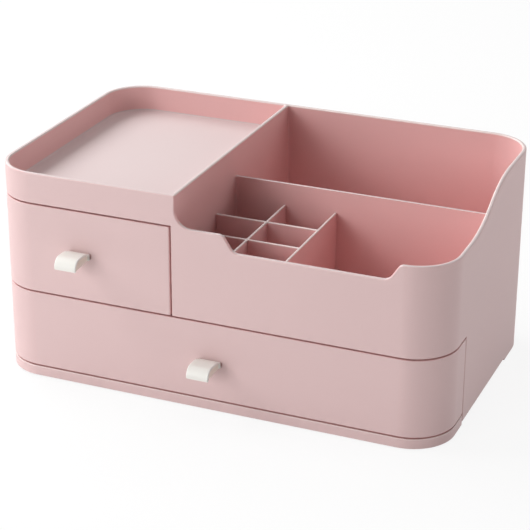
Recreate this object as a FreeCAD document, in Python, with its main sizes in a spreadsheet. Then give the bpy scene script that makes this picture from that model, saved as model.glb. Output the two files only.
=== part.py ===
import FreeCAD, Part
import math
import os
import re
import Sketcher

# Desktop make-up case: a moulded housing with a tray and open compartments over two drawers.
#
# All lengths are in millimetres. Every piece is drawn in one frame: X to the right, Y to the back
# and Z up, with X and Y zero at the middle of the case and Z zero under its feet. The frame is then
# set so that its origin lies under the middle of the whole object, on the surface it stands on.

SIZES = [
    # The case as a whole
    ("overall_width", 320.0, "outside width of the case"),
    ("overall_depth", 198.6, "outside depth of the case without its handles"),
    ("body_height", 148.8, "from the housing's feet to the tray's rim"),
    ("corner_radius", 30.0, "plan radius of the outer corners"),
    ("wall", 2.8, "outer walls of the housing"),
    ("panel_gap", 1.0, "gap round each drawer's front"),
    ("plinth_height", 7.0, "front edge of the base plate"),
    ("rim_round", 1.1, "rounding of the housing's outer rim"),
    ("rim_chamfer", 0.7, "chamfer of the tray's inner rim"),
    ("edge_chamfer", 0.4, "chamfers of the edges at the drawer fronts' gaps"),
    ("tray_chamfer", 1.0, "chamfer round the tray's floor"),
    # Housing
    ("left_part_width", 133.0, "left side to the near face of the partition"),
    ("partition_wall", 2.6, "wall between the tray and the compartments"),
    ("tray_floor", 2.6, "thickness of the tray's floor"),
    ("shelf_thickness", 2.4, "shelf that carries the small drawer and the compartments"),
    ("shoulder_height", 127.0, "top of the low wall beside the notch"),
    ("notch_height", 115.6, "floor of the notch in the low wall"),
    ("notch_left_margin", 33.7, "partition to the notch's left shoulder corner"),
    ("notch_right_margin", 31.7, "right side to the notch's right shoulder corner"),
    ("notch_slope_run", 7.5, "width of each slope of the notch"),
    ("notch_shoulder_round", 5.0, "rounding at the top of each slope"),
    ("notch_floor_round", 7.0, "rounding at the foot of each slope"),
    ("partition_blend", 11.5, "rounding from the partition down to the shoulder"),
    ("side_rise_start", 72.5, "front to the foot corner of the side wall's rise"),
    ("side_rise_run", 42.0, "depth over which the side wall rises"),
    ("divider_wall", 2.0, "cross divider between the front and rear compartments"),
    ("divider_place", 100.8, "front of the case to the middle of the cross divider"),
    ("divider_rise", 0.3, "cross divider's top above the shoulder"),
    ("inner_round", 1.6, "rounding in the inner corners beside the partition"),
    ("foot_length", 51.0, "length of each rear foot along the wall"),
    ("foot_relief", 2.0, "clearance under the walls between the feet"),
    # Drawers
    ("large_front_height", 54.8, "front of the large drawer"),
    ("small_front_height", 62.7, "front of the small drawer"),
    ("front_wall", 2.6, "thickness of a drawer's front"),
    ("wing_length", 45.3, "how far a drawer's front reaches back round a corner"),
    ("box_wall", 2.2, "side, rear and floor of a drawer's box"),
    ("box_drop", 2.0, "top of a drawer's box below the top of its front"),
    ("side_clearance", 0.9, "drawer's box to the housing's inner wall"),
    ("shelf_gap", 0.5, "drawer's front to the edge of the shelf behind it"),
    ("rear_clearance", 16.4, "drawer's box to the housing's back wall"),
    ("runner_height", 0.7, "ribs that a drawer slides on"),
    ("runner_width", 3.0, "width of a runner rib"),
    ("runner_inset", 18.0, "side of a drawer's box to its runner rib"),
    ("runner_setback", 8.0, "drawer's front to the start of a runner rib"),
    ("box_floor_chamfer", 1.5, "chamfer round a drawer's floor"),
    ("box_inner_round", 3.0, "rear corner of the small drawer beside the partition"),
    ("panel_corner_round", 1.2, "upright corner of the small drawer's front beside the partition"),
    ("stop_setback", 54.3, "front of the case to the rear face of the drawer stops"),
    ("stop_thickness", 2.0, "thickness of a drawer stop"),
    ("stop_length", 26.0, "length of a drawer stop along X"),
    ("stop_gap", 13.0, "between the small drawer's two stops"),
    ("stop_catch", 1.2, "how far a stop reaches below a drawer's rear wall"),
    # Handles
    ("handle_reach", 20.8, "how far a handle stands out"),
    ("handle_width", 15.7, "width of a handle"),
    ("handle_crown", 4.3, "crown of a handle above its middle"),
    ("handle_root_top", 1.7, "top of a handle's root above its middle"),
    ("handle_root_bottom", 2.6, "foot of a handle's root below its middle"),
    ("handle_bottom", 3.8, "lower edge of a handle's nose below its middle"),
    ("handle_crown_start", 7.2, "drawer's front to the start of a handle's crown"),
    ("handle_crown_round", 12.0, "rounding where the root runs into the crown"),
    ("handle_nose_round", 6.5, "rounding of a handle's nose"),
    ("handle_lip_round", 1.0, "rounding of the nose's lower edge"),
    ("handle_chamfer", 0.5, "chamfers along the edges of a handle"),
    ("handle_root_wall", 2.5, "wall of a handle against the drawer's front"),
    ("handle_shell", 1.7, "top and nose wall of a handle"),
    ("handle_web", 1.2, "side webs of a handle"),
    ("handle_web_recess", 1.2, "how far a handle's side webs lie in"),
    ("handle_rim", 1.4, "width of the raised rim round a side web"),
    ("small_handle_rise", 0.9, "small drawer's handle above the middle of its front"),
    ("large_handle_drop", 0.4, "large drawer's handle below the middle of its front"),
    ("slot_width", 17.4, "width of the slot for a handle's tongue"),
    ("slot_height", 2.6, "height of the slot for a handle's tongue"),
    ("slot_rise", 0.2, "middle of the slot above the middle of the handle"),
    ("slot_clearance", 0.2, "tongue to the slot's top and bottom"),
    ("tongue_width", 14.0, "width of a handle's tongue"),
    ("tongue_slit", 0.9, "slit that lets the two halves of a tongue close"),
    ("barb_clearance", 0.1, "barbs to the inner face of the drawer's front"),
    ("barb_reach", 3.6, "length of a tongue behind the drawer's front"),
    ("barb_height", 0.6, "height of a barb"),
    ("barb_lead", 0.4, "how far a barb's slope runs in at its tip"),
    # Lipstick grid
    ("strip_wall", 1.7, "strips of the lipstick grid"),
    ("strip_chamfer", 0.4, "chamfers along the tops of the strips"),
    ("grid_height", 45.9, "height of the grid above the compartment's floor"),
    ("grid_column", 36.7, "partition to the middle of the first lengthwise strip"),
    ("grid_column_step", 37.0, "from one lengthwise strip to the next"),
    ("grid_row", 34.4, "cross divider to the middle of the first cross strip"),
    ("grid_row_step", 33.0, "from one cross strip to the next"),
    ("grid_clearance", 0.2, "ends of the strips to the walls"),
    ("locator_height", 5.0, "ribs on the floor that hold the grid in place"),
    ("locator_length", 12.0, "length of each of those ribs"),
    # Base
    ("base_thickness", 2.4, "thickness of the base plate"),
    ("base_wall", 2.4, "skirt and ribs of the base plate"),
    ("base_clearance", 0.2, "base plate to the housing"),
    ("base_rib_height", 3.0, "ribs under the base plate"),
    ("base_rib_pitch", 80.0, "from one lengthwise rib to the next"),
    ("pad_radius", 7.0, "rubber foot pads"),
    ("pad_thickness", 2.2, "thickness of a foot pad"),
    ("pad_recess", 1.2, "depth of a foot pad's seat"),
    ("pad_inset", 27.0, "side of the case to the middle of a foot pad"),
    ("pad_clearance", 0.3, "pad to the wall of its seat"),
    ("seat_wall", 1.8, "wall round a foot pad's seat"),
    ("lug_reach", 1.2, "lugs on the base plate's sides that catch in the housing's walls"),
    ("lug_length", 20.0, "length of a lug"),
    ("lug_height", 2.0, "height of a lug"),
    ("lug_setback", 9.0, "front end of a side wall to its lug"),
    ("lug_clearance", 0.3, "lug to its pocket in the wall"),
    ("screw_inset", 12.0, "housing's inner walls to the middle of a screw"),
    ("screw_radius", 1.5, "shank of a screw"),
    ("screw_length", 12.0, "shank of a screw below its head"),
    ("screw_head_radius", 2.8, "head of a screw"),
    ("screw_head_height", 2.0, "head of a screw"),
    ("screw_clearance", 0.4, "screw to the hole and sink in the base plate"),
    ("screw_fit", 0.05, "screw to the pilot hole in its boss"),
    ("boss_radius", 4.2, "boss for a screw in the housing"),
    ("boss_height", 18.0, "boss for a screw above the base plate"),
    ("boss_web", 1.6, "thickness of the webs from a boss to the walls"),
    ("boss_web_length", 8.8, "from a boss's middle to the end of its webs in the walls"),
    ("recess_width", 0.8, "slots of the cross recess in a screw's head"),
    ("recess_length", 3.2, "length of those slots"),
    ("recess_depth", 1.1, "depth of those slots"),
]

# Places that follow from the sizes, as expressions over them
FRONT = "(-overall_depth / 2)"
BACK_INNER = "(overall_depth / 2 - wall)"
SIDE = "(overall_width / 2)"
SIDE_INNER = "(overall_width / 2 - wall)"
INNER_RADIUS = "(corner_radius - wall)"
PARTITION_LEFT = "(left_part_width - overall_width / 2)"
PARTITION_RIGHT = f"({PARTITION_LEFT} + partition_wall)"
WING_END = f"({FRONT} + wing_length)"
WALL_END = f"({WING_END} + panel_gap)"
LARGE_BOTTOM = "(plinth_height + panel_gap)"
LARGE_TOP = f"({LARGE_BOTTOM} + large_front_height)"
SHELF_UNDER = f"({LARGE_TOP} + panel_gap)"
SHELF_TOP = f"({SHELF_UNDER} + shelf_thickness)"
SMALL_TOP = f"({SHELF_UNDER} + small_front_height)"
TRAY_UNDER = f"({SMALL_TOP} + panel_gap)"
TRAY_TOP = f"({TRAY_UNDER} + tray_floor)"
DIVIDER_MIDDLE = f"({FRONT} + divider_place)"
DIVIDER_FRONT = f"({DIVIDER_MIDDLE} - divider_wall / 2)"
DIVIDER_BACK = f"({DIVIDER_MIDDLE} + divider_wall / 2)"
DIVIDER_TOP = "(shoulder_height + divider_rise)"
BOX_SIDE = f"({SIDE_INNER} - side_clearance)"
BOX_BACK = f"({BACK_INNER} - rear_clearance)"
BOX_RADIUS = f"({INNER_RADIUS} - side_clearance)"
SMALL_RIGHT = f"({PARTITION_LEFT} - panel_gap)"
SCREW_X = f"({SIDE_INNER} - screw_inset)"
SCREW_Y = f"({BACK_INNER} - screw_inset)"
PAD_X = f"({SIDE} - pad_inset)"
PAD_Y = "(overall_depth / 2 - pad_inset)"
PAD_PROUD = "(pad_thickness - pad_recess)"
FEET = {
    "foot_pad_front_left": (f"-{PAD_X}", f"-{PAD_Y}"),
    "foot_pad_front_right": (PAD_X, f"-{PAD_Y}"),
    "foot_pad_rear_left": (f"-{PAD_X}", PAD_Y),
    "foot_pad_rear_right": (PAD_X, PAD_Y),
}
SINK_RADIUS = "(screw_head_radius + screw_clearance)"
BOSS_HALF = f"({SINK_RADIUS} + seat_wall)"
SMALL_BOX_BOTTOM = f"({SHELF_TOP} + panel_gap)"
SMALL_MIDDLE = f"(({SMALL_RIGHT} - {SIDE}) / 2)"
SMALL_HANDLE = (SMALL_MIDDLE, f"(({SHELF_UNDER} + {SMALL_TOP}) / 2 + small_handle_rise)")
LARGE_HANDLE = ("0", f"(({LARGE_BOTTOM} + {LARGE_TOP}) / 2 - large_handle_drop)")
LAST_STRIP = f"({PARTITION_RIGHT} + grid_column + grid_column_step)"
LUG_TOP = "(plinth_height - lug_height)"
SIDES = {"right": "", "left": "-"}
BEYOND = 6.0

doc = FreeCAD.newDocument("makeup_case")
sheet = doc.addObject("Spreadsheet::Sheet", "sizes")
for row, (alias, number, meaning) in enumerate(SIZES, start=1):
    sheet.set(f"A{row}", alias)
    sheet.set(f"B{row}", str(number))
    sheet.setAlias(f"B{row}", alias)
    sheet.set(f"C{row}", meaning)
doc.recompute()

ALIASES = re.compile(r"\b(" + "|".join(alias for alias, number, meaning in SIZES) + r")\b")


def bound(expression):
    """The expression with every size named as a cell of the sheet."""
    return ALIASES.sub(r"sizes.\1", str(expression))


def value(expression):
    """The number that an expression over the sizes comes to."""
    return float(sheet.evalExpression(bound(expression)))


def bind(thing, prop, expression):
    thing.setExpression(prop, bound(expression))


def new_body(name, x="0", y="0", z="0"):
    """An empty body, placed by a point of the case's own frame."""
    body = doc.addObject("PartDesign::Body", name)
    body.Label = name
    bind(body, "Placement.Base.x", x)
    bind(body, "Placement.Base.y", f"{y} + handle_reach / 2")
    bind(body, "Placement.Base.z", f"{z} + {PAD_PROUD}")
    return body


def rounded_corner(before, corner, after, radius):
    """Where an arc in the corner starts, its centre and where it ends."""
    back = (before - corner).normalize()
    onward = (after - corner).normalize()
    half = back.getAngle(onward) / 2
    reach = radius / math.tan(half)
    middle = (back + onward).normalize()
    return corner + back * reach, corner + middle * (radius / math.sin(half)), corner + onward * reach


def flat_sketch(body, name, plane, level):
    """An empty sketch on one of the body's planes, moved along that plane's normal to the level."""
    sketch = body.newObject("Sketcher::SketchObject", name)
    support = [part for part in body.Origin.OriginFeatures if part.Role == plane]
    sketch.AttachmentSupport = [(support[0], "")]
    sketch.MapMode = "FlatFace"
    sketch.Visibility = False
    bind(sketch, "AttachmentOffset.Base.z", level)
    return sketch


def draw_outline(sketch, corners):
    """Draws a closed outline; each corner is (x, y) or (x, y, radius), in expressions over the sizes."""
    count = len(corners)
    points = [FreeCAD.Vector(value(corner[0]), value(corner[1]), 0) for corner in corners]
    arcs = {}
    for i, corner in enumerate(corners):
        if len(corner) == 3:
            arcs[i] = rounded_corner(points[i - 1], points[i], points[(i + 1) % count], value(corner[2]))
    leave = [arcs[i][2] if i in arcs else points[i] for i in range(count)]
    reach = [arcs[i][0] if i in arcs else points[i] for i in range(count)]
    for i in range(count):
        sketch.addGeometry(Part.LineSegment(leave[i], reach[(i + 1) % count]), False)
    for i, corner in enumerate(corners):
        arrive = (i - 1) % count
        if i in arcs:
            start, centre, end = arcs[i]
            to_left = (points[i] - start).cross(end - points[i]).z > 0
            circle = Part.Circle(centre, FreeCAD.Vector(0, 0, 1), value(corner[2]))
            spans = [circle.parameter(point) for point in ((start, end) if to_left else (end, start))]
            arc = sketch.addGeometry(Part.ArcOfCircle(circle, *spans), False)
            mark = sketch.addGeometry(Part.Point(points[i]), True)
            first, last = (1, 2) if to_left else (2, 1)
            sketch.addConstraint(Sketcher.Constraint("Tangent", arrive, 2, arc, first))
            sketch.addConstraint(Sketcher.Constraint("Tangent", arc, last, i, 1))
            sketch.addConstraint(Sketcher.Constraint("PointOnObject", mark, 1, arrive))
            sketch.addConstraint(Sketcher.Constraint("PointOnObject", mark, 1, i))
            fix(sketch, f"r{i}", corner[2], "Radius", arc)
            held = (mark, 1)
        else:
            sketch.addConstraint(Sketcher.Constraint("Coincident", arrive, 2, i, 1))
            held = (i, 1)
        fix(sketch, f"x{i}", corner[0], "DistanceX", -1, 1, *held)
        fix(sketch, f"y{i}", corner[1], "DistanceY", -1, 1, *held)


def draw_circle(sketch, x, y, radius):
    centre = FreeCAD.Vector(value(x), value(y), 0)
    sketch.addGeometry(Part.Circle(centre, FreeCAD.Vector(0, 0, 1), value(radius)), False)
    fix(sketch, "x0", x, "DistanceX", -1, 1, 0, 3)
    fix(sketch, "y0", y, "DistanceY", -1, 1, 0, 3)
    fix(sketch, "r0", radius, "Radius", 0)


def fix(sketch, name, expression, kind, *elements):
    """Adds a measured constraint and ties it to the sheet."""
    index = sketch.addConstraint(Sketcher.Constraint(kind, *elements, value(expression)))
    sketch.renameConstraint(index, name)
    bind(sketch, f"Constraints.{name}", expression)


def prism(kind, body, name, level, shape, length, plane):
    """A Pad or Pocket of a shape: a list of corners, or a circle as (x, y, radius)."""
    sketch = flat_sketch(body, f"{name}_sketch", plane, level)
    if isinstance(shape, tuple):
        draw_circle(sketch, *shape)
    else:
        draw_outline(sketch, shape)
    feature = body.newObject(kind, name)
    feature.Profile = sketch
    bind(feature, "Length", length)
    return feature


def add(body, name, level, shape, length, plane="XY_Plane", down=False):
    """Adds the shape's prism, along the plane's normal or down it."""
    prism("PartDesign::Pad", body, name, level, shape, length, plane).Reversed = down


def remove(body, name, level, shape, length, plane="XY_Plane", down=True):
    """Cuts the shape's prism, down the plane's normal or along it."""
    prism("PartDesign::Pocket", body, name, level, shape, length, plane).Reversed = not down


def on_edges(kind, body, name, chosen):
    """A Fillet or Chamfer of the edges of the body that the test chooses."""
    doc.recompute()
    base = body.Tip
    names = [f"Edge{i}" for i, edge in enumerate(base.Shape.Edges, start=1) if chosen(edge)]
    feature = body.newObject(kind, name)
    feature.Base = (base, names)
    return feature


def rounded(body, name, radius, chosen):
    bind(on_edges("PartDesign::Fillet", body, name, chosen), "Radius", radius)


def chamfered(body, name, size, chosen):
    bind(on_edges("PartDesign::Chamfer", body, name, chosen), "Size", size)


def level_at(height, edge):
    """Whether an edge lies flat at a height."""
    box = edge.BoundBox
    return abs(box.ZMin - value(height)) < 1e-4 and abs(box.ZMax - value(height)) < 1e-4


def rectangle(left, right, front, back):
    return [(left, front), (right, front), (right, back), (left, back)]


# Housing: sides, back, tray, partition, shelf and low front wall, in one moulding.

def low_wall_profile():
    """What is cut away above the low front wall, seen from the front: the blend and the notch."""
    left = f"({PARTITION_RIGHT} + notch_left_margin)"
    right = f"({SIDE} - notch_right_margin)"
    over = f"(body_height + {BEYOND})"
    outside = f"({SIDE} + {BEYOND})"
    return [
        (PARTITION_RIGHT, over),
        (PARTITION_RIGHT, "shoulder_height", "partition_blend"),
        (left, "shoulder_height", "notch_shoulder_round"),
        (f"{left} + notch_slope_run", "notch_height", "notch_floor_round"),
        (f"{right} - notch_slope_run", "notch_height", "notch_floor_round"),
        (right, "shoulder_height", "notch_shoulder_round"),
        (outside, "shoulder_height"),
        (outside, over),
    ]


def side_wall_profile():
    """What is cut away above the right side wall, seen from the side: a long rise to the full height."""
    start = f"({FRONT} + side_rise_start)"
    rise = "(body_height - shoulder_height)"
    slant = f"sqrt(side_rise_run ^ 2 + {rise} ^ 2)"
    sweep = f"(0.48 * {slant} / tan(atan({rise} / side_rise_run) / 2))"
    over = f"(body_height + {BEYOND})"
    return [
        (f"{FRONT} - {BEYOND}", over),
        (f"{FRONT} - {BEYOND}", "shoulder_height"),
        (start, "shoulder_height", sweep),
        (f"{start} + side_rise_run", "body_height", sweep),
        (f"{BACK_INNER} - corner_radius", "body_height"),
        (f"{BACK_INNER} - corner_radius", over),
    ]


def lug_plan(mark, clearance):
    """Plan of a base plate's lug, or of the pocket that it catches in."""
    inner = f"{mark}({SIDE_INNER} - base_clearance - lug_reach)"
    outer = f"{mark}({SIDE_INNER} + lug_reach - lug_clearance + {clearance})"
    front = f"{WALL_END} + lug_setback"
    return rectangle(inner, outer, f"{front} - {clearance}", f"{front} + lug_length + {clearance}")


def add_stops(body, name, ceiling, panel_top, middles):
    """Ribs under a bay's ceiling that a drawer's rear wall meets when it is fully out."""
    rear = f"({FRONT} + stop_setback)"
    drop = f"{ceiling} - ({panel_top} - box_drop) + stop_catch"
    for i, middle in enumerate(middles):
        plan = rectangle(f"{middle} - stop_length / 2", f"{middle} + stop_length / 2",
                         f"{rear} - stop_thickness", rear)
        add(body, f"{name}_stop_{i}", ceiling, plan, drop, down=True)


def on_skin(edge):
    """Whether an edge runs in the outer surface of the case."""
    point = edge.valueAt((edge.FirstParameter + edge.LastParameter) / 2)
    radius = value("corner_radius")
    across = abs(point.x) - value(SIDE) + radius
    along = abs(point.y) - value("overall_depth / 2") + radius
    reach = math.hypot(across, along) if across > 0 and along > 0 else max(across, along)
    return abs(reach - radius) < 1e-4


def upright(edge):
    box = edge.BoundBox
    return box.XLength < 1e-4 and box.YLength < 1e-4


def stands_at(edge, x, y):
    """Whether an upright edge stands at a point of the plan."""
    box = edge.BoundBox
    return upright(edge) and abs(box.XMin - value(x)) < 1e-4 and abs(box.YMin - value(y)) < 1e-4


def is_outer_rim(edge):
    if upright(edge):
        return stands_at(edge, PARTITION_RIGHT, FRONT)
    above_notch = edge.BoundBox.ZMin > value("notch_height") - 0.1
    return on_skin(edge) and above_notch and not level_at(TRAY_UNDER, edge)


def is_tray_rim(edge):
    left_of_partition = edge.BoundBox.XMax < value(PARTITION_LEFT) + 1e-4
    return left_of_partition and level_at("body_height", edge) and not on_skin(edge)


def is_gap_edge(edge):
    """The edges that look onto the gaps round the drawer fronts."""
    if upright(edge):
        end = abs(edge.BoundBox.YMin - value(WALL_END)) < 1e-4
        return on_skin(edge) and (end or stands_at(edge, PARTITION_LEFT, FRONT))
    return on_skin(edge) and (level_at(TRAY_UNDER, edge) or level_at(SHELF_UNDER, edge))


def make_housing():
    body = new_body("housing")
    back = "(overall_depth / 2)"
    corners = [corner + ("corner_radius",) for corner in rectangle(f"-{SIDE}", SIDE, FRONT, back)]
    add(body, "block", "0", corners, "body_height")

    tray = [
        (f"-{SIDE_INNER}", f"-{BACK_INNER}", INNER_RADIUS),
        (PARTITION_LEFT, f"-{BACK_INNER}", "inner_round"),
        (PARTITION_LEFT, BACK_INNER, "inner_round"),
        (f"-{SIDE_INNER}", BACK_INNER, INNER_RADIUS),
    ]
    remove(body, "tray", "body_height", tray, f"body_height - {TRAY_TOP}")

    compartments = {
        "front_compartment": [
            (PARTITION_RIGHT, f"-{BACK_INNER}"),
            (SIDE_INNER, f"-{BACK_INNER}", INNER_RADIUS),
            (SIDE_INNER, DIVIDER_FRONT, "inner_round"),
            (PARTITION_RIGHT, DIVIDER_FRONT, "inner_round"),
        ],
        "rear_compartment": [
            (PARTITION_RIGHT, DIVIDER_BACK, "inner_round"),
            (SIDE_INNER, DIVIDER_BACK, "inner_round"),
            (SIDE_INNER, BACK_INNER, INNER_RADIUS),
            (PARTITION_RIGHT, BACK_INNER, "inner_round"),
        ],
    }
    for name, plan in compartments.items():
        remove(body, name, "body_height", plan, f"body_height - {SHELF_TOP}")
    over_divider = rectangle(PARTITION_RIGHT, SIDE_INNER,
                             f"{DIVIDER_FRONT} - inner_round", f"{DIVIDER_BACK} + inner_round")
    remove(body, "divider_top", "body_height", over_divider, f"body_height - {DIVIDER_TOP}")

    small_bay = [
        (PARTITION_LEFT, f"{FRONT} - {BEYOND}"),
        (PARTITION_LEFT, BACK_INNER, "inner_round"),
        (f"-{SIDE_INNER}", BACK_INNER, INNER_RADIUS),
        (f"-{SIDE_INNER}", WALL_END),
        (f"-{SIDE} - {BEYOND}", WALL_END),
        (f"-{SIDE} - {BEYOND}", f"{FRONT} - {BEYOND}"),
    ]
    remove(body, "small_bay", TRAY_UNDER, small_bay, f"{TRAY_UNDER} - {SHELF_TOP}")
    large_bay = [
        (f"-{SIDE} - {BEYOND}", f"{FRONT} - {BEYOND}"),
        (f"{SIDE} + {BEYOND}", f"{FRONT} - {BEYOND}"),
        (f"{SIDE} + {BEYOND}", WALL_END),
        (SIDE_INNER, WALL_END),
        (SIDE_INNER, BACK_INNER, INNER_RADIUS),
        (f"-{SIDE_INNER}", BACK_INNER, INNER_RADIUS),
        (f"-{SIDE_INNER}", WALL_END),
        (f"-{SIDE} - {BEYOND}", WALL_END),
    ]
    remove(body, "large_bay", SHELF_UNDER, large_bay, SHELF_UNDER)
    behind = "(front_wall + shelf_gap)"
    shelf_front = [
        (PARTITION_LEFT, f"{FRONT} - {BEYOND}"),
        (PARTITION_LEFT, f"{FRONT} + {behind}"),
        (f"-{SIDE} + {behind}", f"{FRONT} + {behind}", f"corner_radius - {behind}"),
        (f"-{SIDE} + {behind}", WALL_END),
        (f"-{SIDE} - {BEYOND}", WALL_END),
        (f"-{SIDE} - {BEYOND}", f"{FRONT} - {BEYOND}"),
    ]
    remove(body, "shelf_front", SHELF_TOP, shelf_front, "shelf_thickness")

    remove(body, "low_wall", f"-{FRONT} + {BEYOND}", low_wall_profile(), f"corner_radius + {BEYOND}",
           plane="XZ_Plane")
    remove(body, "side_wall", f"{SIDE} + {BEYOND}", side_wall_profile(), f"corner_radius + {BEYOND}",
           plane="YZ_Plane")

    relief = [
        (f"{FRONT} - {BEYOND}", f"-{BEYOND}"),
        ("overall_depth / 2 - foot_length", f"-{BEYOND}"),
        ("overall_depth / 2 - foot_length", "foot_relief", "foot_relief"),
        (f"{FRONT} - {BEYOND}", "foot_relief"),
    ]
    remove(body, "side_relief", f"{SIDE} + {BEYOND}", relief, f"overall_width + 2 * {BEYOND}",
           plane="YZ_Plane")
    foot = f"({SIDE} - foot_length)"
    relief = [
        (f"-{foot}", f"-{BEYOND}"),
        (foot, f"-{BEYOND}"),
        (foot, "foot_relief", "foot_relief"),
        (f"-{foot}", "foot_relief", "foot_relief"),
    ]
    remove(body, "back_relief", f"-{BACK_INNER} + 1", relief, BEYOND, down=True, plane="XZ_Plane")

    for side, mark in SIDES.items():
        x = f"{mark}{SCREW_X}"
        add(body, f"boss_{side}", "plinth_height", (x, SCREW_Y, "boss_radius"), "boss_height")
        web = rectangle(x, f"{mark}({SCREW_X} + boss_web_length)",
                        f"{SCREW_Y} - boss_web / 2", f"{SCREW_Y} + boss_web / 2")
        add(body, f"side_web_{side}", "plinth_height", web, "boss_height")
        web = rectangle(f"{x} - boss_web / 2", f"{x} + boss_web / 2",
                        SCREW_Y, f"{SCREW_Y} + boss_web_length")
        add(body, f"back_web_{side}", "plinth_height", web, "boss_height")
        remove(body, f"pilot_{side}", "plinth_height", (x, SCREW_Y, "screw_radius + screw_fit"),
               "screw_length + 1", down=False)
        pocket = lug_plan(mark, "lug_clearance")
        remove(body, f"lug_pocket_{side}", f"{LUG_TOP} + lug_clearance", pocket,
               "lug_height + 2 * lug_clearance")

    add_stops(body, "large", SHELF_UNDER, LARGE_TOP, (f"-{BOX_SIDE} / 2", f"{BOX_SIDE} / 2"))
    spread = "(stop_length + stop_gap) / 2"
    small_middles = (f"{SMALL_MIDDLE} - {spread}", f"{SMALL_MIDDLE} + {spread}")
    add_stops(body, "small", TRAY_UNDER, SMALL_TOP, small_middles)

    for name, edge in (("front", f"-{BACK_INNER}"), ("rear", f"{DIVIDER_FRONT} - locator_length")):
        left = f"({LAST_STRIP} + strip_wall / 2 + grid_clearance)"
        plan = rectangle(left, f"{left} + strip_wall", edge, f"{edge} + locator_length")
        add(body, f"locator_{name}", SHELF_TOP, plan, "locator_height")

    rounded(body, "outer_rim", "rim_round", is_outer_rim)
    chamfered(body, "tray_rim", "rim_chamfer", is_tray_rim)
    chamfered(body, "gap_edges", "edge_chamfer", is_gap_edge)
    chamfered(body, "tray_foot", "tray_chamfer", lambda edge: level_at(TRAY_TOP, edge))
    return body



# Drawers: a front that wraps round the case's corners, with a box behind it that slides on two ribs.

def make_large_drawer():
    """The drawer that fills the whole width, so that its front has a wing at both ends."""
    body = new_body("large_drawer")
    side = f"({SIDE} - front_wall)"
    inner = f"({BOX_SIDE} - box_wall)"
    front = [
        (f"-{SIDE}", FRONT, "corner_radius"),
        (SIDE, FRONT, "corner_radius"),
        (SIDE, WING_END),
        (f"-{SIDE}", WING_END),
    ]
    add(body, "front", LARGE_BOTTOM, front, "large_front_height")
    box = [
        (f"-{BOX_SIDE}", f"{WING_END} - box_wall"),
        (BOX_SIDE, f"{WING_END} - box_wall"),
        (BOX_SIDE, BOX_BACK, BOX_RADIUS),
        (f"-{BOX_SIDE}", BOX_BACK, BOX_RADIUS),
    ]
    add(body, "box", LARGE_BOTTOM, box, "large_front_height - box_drop")
    hollow = [
        (f"-{side}", f"{FRONT} + front_wall", "corner_radius - front_wall"),
        (side, f"{FRONT} + front_wall", "corner_radius - front_wall"),
        (side, f"{WING_END} - box_wall"),
        (inner, f"{WING_END} - box_wall"),
        (inner, f"{BOX_BACK} - box_wall", f"{BOX_RADIUS} - box_wall"),
        (f"-{inner}", f"{BOX_BACK} - box_wall", f"{BOX_RADIUS} - box_wall"),
        (f"-{inner}", f"{WING_END} - box_wall"),
        (f"-{side}", f"{WING_END} - box_wall"),
    ]
    remove(body, "hollow", LARGE_TOP, hollow, "large_front_height - box_wall")
    finish_drawer(body, LARGE_HANDLE, LARGE_BOTTOM, LARGE_BOTTOM, LARGE_TOP, (f"-{BOX_SIDE}", BOX_SIDE))
    return body


def make_small_drawer():
    """The drawer under the tray: one wing, and a straight right side beside the partition."""
    body = new_body("small_drawer")
    side = f"({SIDE} - front_wall)"
    inner = f"({BOX_SIDE} - box_wall)"
    inner_right = f"({SMALL_RIGHT} - box_wall)"
    front = [
        (f"-{SIDE}", FRONT, "corner_radius"),
        (SMALL_RIGHT, FRONT, "panel_corner_round"),
        (SMALL_RIGHT, WING_END),
        (f"-{SIDE}", WING_END),
    ]
    add(body, "front", SHELF_UNDER, front, "small_front_height")
    over_shelf = [
        (f"-{side}", f"{FRONT} + front_wall", "corner_radius - front_wall"),
        (f"{SMALL_RIGHT} + {BEYOND}", f"{FRONT} + front_wall"),
        (f"{SMALL_RIGHT} + {BEYOND}", f"{WING_END} + {BEYOND}"),
        (f"-{side}", f"{WING_END} + {BEYOND}"),
    ]
    remove(body, "over_shelf", SMALL_BOX_BOTTOM, over_shelf, f"{SMALL_BOX_BOTTOM} - {SHELF_UNDER}")
    box = [
        (f"-{BOX_SIDE}", f"{WING_END} - box_wall"),
        (SMALL_RIGHT, f"{WING_END} - box_wall"),
        (SMALL_RIGHT, BOX_BACK, "box_inner_round"),
        (f"-{BOX_SIDE}", BOX_BACK, BOX_RADIUS),
    ]
    add(body, "box", SMALL_BOX_BOTTOM, box, f"{SMALL_TOP} - box_drop - {SMALL_BOX_BOTTOM}")
    hollow = [
        (f"-{side}", f"{FRONT} + front_wall", "corner_radius - front_wall"),
        (inner_right, f"{FRONT} + front_wall", "inner_round"),
        (inner_right, f"{BOX_BACK} - box_wall", "inner_round"),
        (f"-{inner}", f"{BOX_BACK} - box_wall", f"{BOX_RADIUS} - box_wall"),
        (f"-{inner}", f"{WING_END} - box_wall"),
        (f"-{side}", f"{WING_END} - box_wall"),
    ]
    remove(body, "hollow", SMALL_TOP, hollow, f"{SMALL_TOP} - {SMALL_BOX_BOTTOM} - box_wall")
    sides = (f"-{BOX_SIDE}", SMALL_RIGHT)
    finish_drawer(body, SMALL_HANDLE, SHELF_UNDER, SMALL_BOX_BOTTOM, SMALL_TOP, sides)
    return body


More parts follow.
